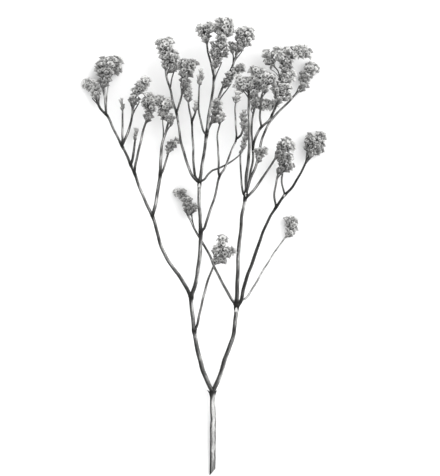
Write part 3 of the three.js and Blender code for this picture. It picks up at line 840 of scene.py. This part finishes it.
def stem_tone(stem, rng):
    """The tone function of a stem, with its painted highlight, by turn from its top and distance along it."""
    phases = rng.uniform(0, 2 * math.pi, 3)
    band = HIGHLIGHTS.get(stem, THIN_HIGHLIGHT)

    def line(turns, tone, middle, width):
        """A painted highlight: a pale line along a stem."""
        return tone * bell(turns, middle, width)

    def highlighted(turns, along):
        """A painted highlight along a dark stem, which comes and goes, wanders, and is darker near the base.
        """
        waves = np.sin(along / band.short + phases[0]) * np.sin(along / band.long + phases[1])
        pale = (band.tone + band.change * waves) * (1 - band.dimming * bell(along, 0, band.dimmed))
        middle = band.middle + HIGHLIGHT_WANDER * np.sin(along / band.wander + phases[2])
        share = (along / along.max() - FADING_START) / (FADING_END - FADING_START)
        edge = band.edge + band.fading * np.clip(share, 0, 1)
        return edge + line(turns, pale, middle, band.width)

    def main(turns, along):
        """A painted highlight in the middle, greyer near the cut and moving to the right near the fork."""
        pale = MAIN_HIGHLIGHT + (MAIN_HIGHLIGHT_BEYOND - MAIN_HIGHLIGHT) * (1 - bell(along, 0, MAIN_HIGHLIGHT_GROWTH))
        shift = bell(along, along.max(), MAIN_FORK_REACH)
        middle = MAIN_HIGHLIGHT_MIDDLE + (MAIN_HIGHLIGHT_AT_FORK - MAIN_HIGHLIGHT_MIDDLE) * shift
        return MAIN_SHADED_SIDES + line(turns, pale, middle, MAIN_HIGHLIGHT_WIDTH) + line(turns, *RIGHT_SIDE_HIGHLIGHT)

    def faint(turns, _):
        """Pale all round, with a painted highlight on its upper right."""
        return FAINT_TONE + line(turns, *FAINT_HIGHLIGHT)

    return {"main_stem": main, "low_right_stalk": faint}.get(stem, highlighted)


def darker_forks(tone_at, path, forks):
    """The same tone, but darker near the forks."""
    places = distances_along(path)
    fork_places = [places[np.linalg.norm(path - fork, axis=1).argmin()] for fork in forks]

    def tone(turns, along):
        on_the_path = np.minimum(along, places[-1])  # the rounded end lies past it
        shade = np.max([bell(on_the_path, place, FORK_REACH) for place in fork_places], axis=0)
        return tone_at(turns, along) * (1 - FORK_DARKNESS * shade)

    return tone


def strayed(path, rng):
    """The path with slow small bends, which leave its two ends in place."""
    _, right, top = directions(path)
    along = distances_along(path)
    ends = np.minimum(1, np.minimum(along, along[-1] - along) / WOBBLE_START)[:, None]
    moved = path.copy()
    for way in (right, top):
        for length in WOBBLE_LENGTHS:
            wave = np.sin(along / length * 2 * math.pi + rng.uniform(0, 2 * math.pi))
            moved += 0.5 * WOBBLE * ends * wave[:, None] * way
    return moved


def add_cut(points, parts):
    """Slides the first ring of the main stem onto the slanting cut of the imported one, and adds the pith."""
    _, _, foot = packed_rings("main_stem")
    middle = foot.mean(axis=0)
    normal = np.linalg.svd(foot - middle)[2][2]
    ring = points[0]
    ahead = unit(points[2].mean(axis=0) - ring.mean(axis=0))
    slide = ((middle - ring) @ normal) / (ahead @ normal)
    rim = ring + slide[:, None] * ahead
    parts.points[0][: len(ring)] = rim
    centre = rim.mean(axis=0)
    discs = [centre + share * (rim - centre) + depth * ahead for share, depth, _ in CUT_FACE]
    tones = np.repeat([tone for _, _, tone in CUT_FACE], len(ring))
    faces = band_faces(len(discs), len(ring))
    parts.add(np.vstack(discs), [face[::-1] for face in faces], tones)


def add_fork_scales(parts, stem, path):
    """The dark scale leaf below the fork where a stem leaves its parent, and at some forks a pale one."""
    parent_path, parent_radii = paths[parents[stem]], path_radii[parents[stem]]
    spot = np.linalg.norm(parent_path - path[0], axis=1).argmin()
    upward, _, top = (way[spot] for way in directions(parent_path))
    leaving = directions(path)[0][3]
    outward = unit(leaving - (leaving @ upward) * upward)
    radius = parent_radii[spot]
    size = LARGE_SCALES.get(stem, 1) * radius
    out, below = DARK_SCALE_PLACE
    root = path[0] + out * radius * outward - below * size * upward
    lean = unit(upward + DARK_SCALE_LEAN * outward)
    facing = unit(outward - (outward @ lean) * lean)
    add_scale(parts, root, lean, facing, size * DARK_SCALE_SIZE, DARK_SCALE_TONE)
    if stem in PALE_SCALES:
        out, below = PALE_SCALE_PLACE
        root = path[0] + (out * top - below * upward) * radius
        add_scale(parts, root, upward, top, radius * PALE_SCALE_SIZE, PALE_SCALE_TONE)


def build_stem(stem, seed):
    """A stem's tube, with the scale leaves where it leaves its parent."""
    rng = np.random.default_rng(seed)
    parts = Parts()
    path, radii = paths[stem], path_radii[stem]
    if SLOTS[stem] == "floret":
        path, radii = path[:-TIP_POINTS], radii[:-TIP_POINTS]
    forks = [paths[side][0] for side in SIDE_STEMS.get(stem, [])]
    swollen = radii * swellings(path, forks)
    if stem in parents:
        forks.append(path[0])
    tone_at = darker_forks(stem_tone(stem, rng), path, forks)
    points = add_tube(parts, strayed(path, rng), swollen, tone_at, rng)
    if stem == "main_stem":
        add_cut(points, parts)
    else:
        add_fork_scales(parts, stem, path)
    suffix = "_stalk" if SLOTS[stem] == "floret" else "_dry"
    parts.piece(stem + suffix, stem, STEM_LOOK)


for seed, stem in enumerate(paths):
    build_stem(stem, seed + 100)


# ---- building the flower heads

ALL_AXES = np.vstack(list(paths.values()))
ALL_RADII = np.concatenate(list(path_radii.values()))


def off_the_stems(spots):
    """True for the spots that don't lie in the socket of a stem."""
    clear = np.linalg.norm(spots[:, None] - ALL_AXES[None], axis=2) - ALL_RADII[None]
    return clear.min(axis=1) > SOCKET_MARGIN


def add_cups(cups, spots, ways, share, size, opening, shade, rng):
    """Cups with the middles of their mouths near the spots. Returns where their bases are.

    share is how far from the foot of the head each spot lies, from 0 to 1.
    """
    count = len(spots)
    mouths = spots + np.clip(rng.normal(*MOUTHS_OUT, (count, 1)), *MOUTH_LIMITS) * MM * ways
    openings = opening * rising(share, CUP_OPENING) + rng.normal(0, OPENING_SPREAD, count)
    kinds = (CUP_KINDS * np.clip(openings, 0, OPENING_LIMIT)).astype(int)
    sizes = size * MM * rising(share, CUP_SIZE) * rng.uniform(*CUP_SIZES, count)
    tones = shade * rising(share, CUP_TONE) * rng.uniform(*CUP_TONES, count)
    turns = turned_to(ways, rng.uniform(0, 2 * math.pi, count))
    bases = mouths - CUP_LENGTH * sizes[:, None] * ways
    return np.array([
        place(cups, CUPS[kind][k % CUPS_OF_A_KIND], bases[k], turns[k], sizes[k], tones[k], rng)
        for k, kind in enumerate(kinds)
    ])


def add_buds(cups, solid, allowed, pointing, size, shade, rng):
    """Closed buds that fill the room between the cups. pointing(spots, facing) gives their ways."""
    spots, facing = spread(solid, size * BUD_SPACING, allowed, rng)
    ways, _ = pointing(spots, facing)
    turns = turned_to(ways, rng.uniform(0, 2 * math.pi, len(spots)))
    for spot, outwards, way, turn in zip(spots, facing, ways, turns):
        bud_size = size * MM * rng.uniform(*BUD_SIZES)
        base = spot - BUD_DEPTH * outwards - BUD_PROFILE[-1][0] * bud_size * way
        place(cups, BUD, base, turn, bud_size, shade * rng.uniform(*BUD_TONES), rng)


def inside_of(places, points, margin=HEAD_MARGIN):
    """True for the places in the solid that has the points, or nearly."""
    return np.linalg.norm(places[:, None] - points[None], axis=2).min(axis=1) < margin


def stems_inside(points):
    """The points of the stems in a head and a little below it, and the way that the stem runs at each."""
    roots, growing = [], []
    for path in paths.values():
        inside = inside_of(path, points)
        if inside.any():
            first = max(inside.argmax() - round(TWIG_REACH / RING_STEP), 0)
            last = len(path) - inside[::-1].argmax()
            roots.append(path[first:last])
            growing.append(directions(path)[0][first:last])
    return np.vstack(roots), np.vstack(growing)


def carrying_stem(points):
    """The path of the stem that carries a head, and the number of its first point in the head."""
    entered = [(inside_of(path, points), path) for path in paths.values()]
    inside, path = max(entered, key=lambda pair: (pair[0][-1], pair[0].sum()))
    return path, inside.argmax()


def side_branch(path, first, start, side, spread, margin, spots):
    """A thin branch from below a head into its left or right side, or None where there is no room."""
    ahead, right, _ = directions(path)
    on_this_side = (spots - path[first]) @ right[first] * side > 0
    if start >= first or not on_this_side.any():
        return None
    lift = (spots[on_this_side].mean(axis=0) - path[first])[2] / 2
    entry = path[first] + side * spread * right[first] + lift * UP
    way = entry - path[start]
    end = entry + BRANCH_END * way
    if not inside_of(np.array([entry, end]), spots, margin).all():
        return None
    bow = BRANCH_BOW * (way @ ahead[start]) * ahead[start]
    knots = np.array([path[start], path[start] + way / 2 + bow, entry, end])
    return smooth_path(knots, np.zeros(len(knots)), RING_STEP)[0]


def side_branches(node, path, first, spots, length):
    """The short branches of a head, one on each side where there is room. One may be a second stalk."""
    branches = {side: (BRANCH_REACH * length, BRANCH_SPREAD, BRANCH_MARGIN) for side in (LEFT, RIGHT)}
    if node in SECOND_STALKS:
        side, below, spread = SECOND_STALKS[node]
        branches[side] = (below, spread, math.inf)
    made = [
        side_branch(path, first, max(first - round(below / RING_STEP), 1), side, spread, margin, spots)
        for side, (below, spread, margin) in branches.items()
    ]
    return [branch for branch in made if branch is not None]


def build_twigs(node, branches, joined, bases, rng):
    """The twigs of a head or a spike, with the head's side branches, as one piece."""
    twigs = Parts()
    for branch in branches:
        radii = np.linspace(*BRANCH_TAPER, len(branch)) * BRANCH_RADIUS
        add_tube(twigs, branch, radii, stem_tone(node, rng), rng, BRANCH_SIDES)
    add_twigs(twigs, joined, bases, rng)
    twigs.piece(node + "_twigs", node, STEM_LOOK)


def build_head(node, seed):
    """A flower head: its cups and buds as one piece, and its twigs as another."""
    solid = packed_solid(node)
    points, _ = solid
    rng = np.random.default_rng(seed)
    spots, facing = spread(solid, CUP_SPACING, off_the_stems, rng)
    stem, first = carrying_stem(points)
    foot = stem[first]
    growth = unit(spots.mean(axis=0) - foot)
    rise = (spots - foot) @ growth

    def leaning(places, outwards):
        """The way that each cup points, and how far up the head it is, from 0 to 1."""
        share = np.clip(((places - foot) @ growth - rise.min()) / np.ptp(rise), 0, 1)
        spreading = unit(places - foot + FAN_START * growth)
        straight = rising(share[:, None], STRAIGHT_OUT) * outwards
        funnel = rising(share[:, None], ALONG_FUNNEL) * spreading
        return unit(straight + funnel + rng.normal(0, HEAD_DISORDER, places.shape)), share

    ways, share = leaning(spots, facing)
    shade = HEAD_SHADES.get(node, 1.0)
    cups = Parts()
    bases = add_cups(cups, spots, ways, share, HEAD_CUP_SIZE, 1.0, shade, rng)
    add_buds(cups, solid, off_the_stems, leaning, 1.0, shade, rng)
    cups.piece(node + "_cups", node, CUP_LOOK)
    branches = side_branches(node, stem, first, spots, np.ptp(rise))
    roots, growing = stems_inside(points)
    roots = np.vstack([roots, *branches])
    growing = np.vstack([growing, *(directions(branch)[0] for branch in branches)])
    build_twigs(node, branches, join_twigs(roots, growing, growth, bases), bases, rng)


def build_spike(node, seed):
    """A spike: its cups and buds as one piece, and its twigs as another. Its stalk is built as a stem."""
    solid = packed_solid(node)
    path = paths[node]
    middles, radii, _ = packed_rings(node)
    neck = middles[(radii > SPIKE_SWOLLEN * radii[0]).argmax() - 1]
    first = np.linalg.norm(path - neck, axis=1).argmin()
    fullness = np.clip(radii.max() / SPIKE_FULL, SPIKE_SLIM, 1)
    ahead = directions(path)[0]

    def on_the_head(spots):
        """True for the spots on the swollen part of the spike."""
        distances = np.linalg.norm(spots[:, None] - path[None], axis=2)
        return (distances.min(axis=1) > SPIKE_CORE) & (distances.argmin(axis=1) > first + FOOT_POINTS)

    def pointing(places, outwards):
        """The way that each cup points, and how far up the spike's head it is, from 0 to 1."""
        beside = np.linalg.norm(places[:, None] - path[None], axis=2).argmin(axis=1)
        outspread = SPIKE_SPREADING * fullness**2 * outwards
        ways = unit(outspread + ahead[beside] + rng.normal(0, SPIKE_DISORDER, places.shape))
        return ways, (beside - first) / (len(path) - 1 - first)

    rng = np.random.default_rng(seed)
    spots, facing = spread(solid, SPIKE_CUP_SIZE * CUP_SPACING, on_the_head, rng)
    spots = np.vstack([spots, path[-1]])
    facing = np.vstack([facing, ahead[-1]])
    ways, share = pointing(spots, facing)
    shade = HEAD_SHADES.get(node, 1.0)
    opening = max(rising(fullness, SPIKE_OPENING), LEAST_OPEN)
    cups = Parts()
    bases = add_cups(cups, spots, ways, share, SPIKE_CUP_SIZE, opening, shade, rng)
    add_buds(cups, solid, on_the_head, pointing, SPIKE_CUP_SIZE, shade, rng)
    cups.piece(node + "_cups", node, CUP_LOOK)
    build_twigs(node, [], join_twigs(path[first:], ahead[first:], ahead[-1], bases), bases, rng)


for seed, (node, slot) in enumerate(SLOTS.items()):
    if slot == "floret":
        build = build_spike if node in paths else build_head
        build(node, 2 * seed + 500)


# ---- floor, light and camera

PICTURE_PX = (440, 476)
PIXEL = 0.8 * MM  # the width of one of the picture's pixels at FOCUS_HEIGHT
SPRIG_MIDDLE_PX = (204.1, 246.7)  # where the middle of the sprig's box is in the picture
FOCUS_HEIGHT = 22 * MM
LENS_MM = 500
SENSOR_MM = 36
FLOOR_REACH = 60  # from the middle to each side
FLOOR_GREY = 0.9
CLIP_END = 100  # the camera sees as far as this
DOME_STRENGTH, LAMP_STRENGTH = 1.3, 1.5
LAMP_DEGREES = 50  # how wide the lamp looks from the sprig
LAMP_TILT_DEGREES = (-20, 38, 0)


def make_camera():
    """A long lens high above the sprig, with the picture's frame at FOCUS_HEIGHT."""
    data = bpy.data.cameras.new("camera")
    data.lens = LENS_MM
    data.sensor_width = SENSOR_MM
    data.clip_end = CLIP_END
    camera = add_object("camera", data)
    width, height = PICTURE_PX
    distance = height * PIXEL * LENS_MM / SENSOR_MM
    low, high = CAD_BOX
    camera.location = (
        (low.x + high.x) / 2 + (width / 2 - SPRIG_MIDDLE_PX[0]) * PIXEL,
        (low.y + high.y) / 2 - (height / 2 - SPRIG_MIDDLE_PX[1]) * PIXEL,
        FOCUS_HEIGHT + distance,
    )
    data.clip_start = distance / 10
    bpy.context.scene.camera = camera


def make_floor():
    """A wide pale floor."""
    mesh = bpy.data.meshes.new("floor")
    reach = FLOOR_REACH
    corners = [(-reach, -reach, 0), (reach, -reach, 0), (reach, reach, 0), (-reach, reach, 0)]
    mesh.from_pydata(corners, [], [(0, 1, 2, 3)])
    material, tree = new_material("pale_floor")
    shader = tree.nodes["Principled BSDF"]
    shader.inputs["Base Color"].default_value = (FLOOR_GREY, FLOOR_GREY, FLOOR_GREY, 1)
    shader.inputs["Roughness"].default_value = 0.9
    shader.inputs["Specular IOR Level"].default_value = 0.1
    mesh.materials.append(material)
    add_object("floor", mesh)


def make_light():
    """A white dome, and a broad soft lamp from the upper right."""
    world = bpy.data.worlds.new("dome")
    world.use_nodes = True
    background = world.node_tree.nodes["Background"]
    background.inputs["Color"].default_value = (1, 1, 1, 1)
    background.inputs["Strength"].default_value = DOME_STRENGTH
    bpy.context.scene.world = world
    lamp = bpy.data.lights.new("key", "SUN")
    lamp.energy = LAMP_STRENGTH
    lamp.angle = math.radians(LAMP_DEGREES)
    key = add_object("key", lamp)
    key.rotation_euler = [math.radians(turn) for turn in LAMP_TILT_DEGREES]


make_camera()
make_floor()
make_light()
bpy.context.scene.view_settings.view_transform = "Standard"

bpy.context.view_layer.update()
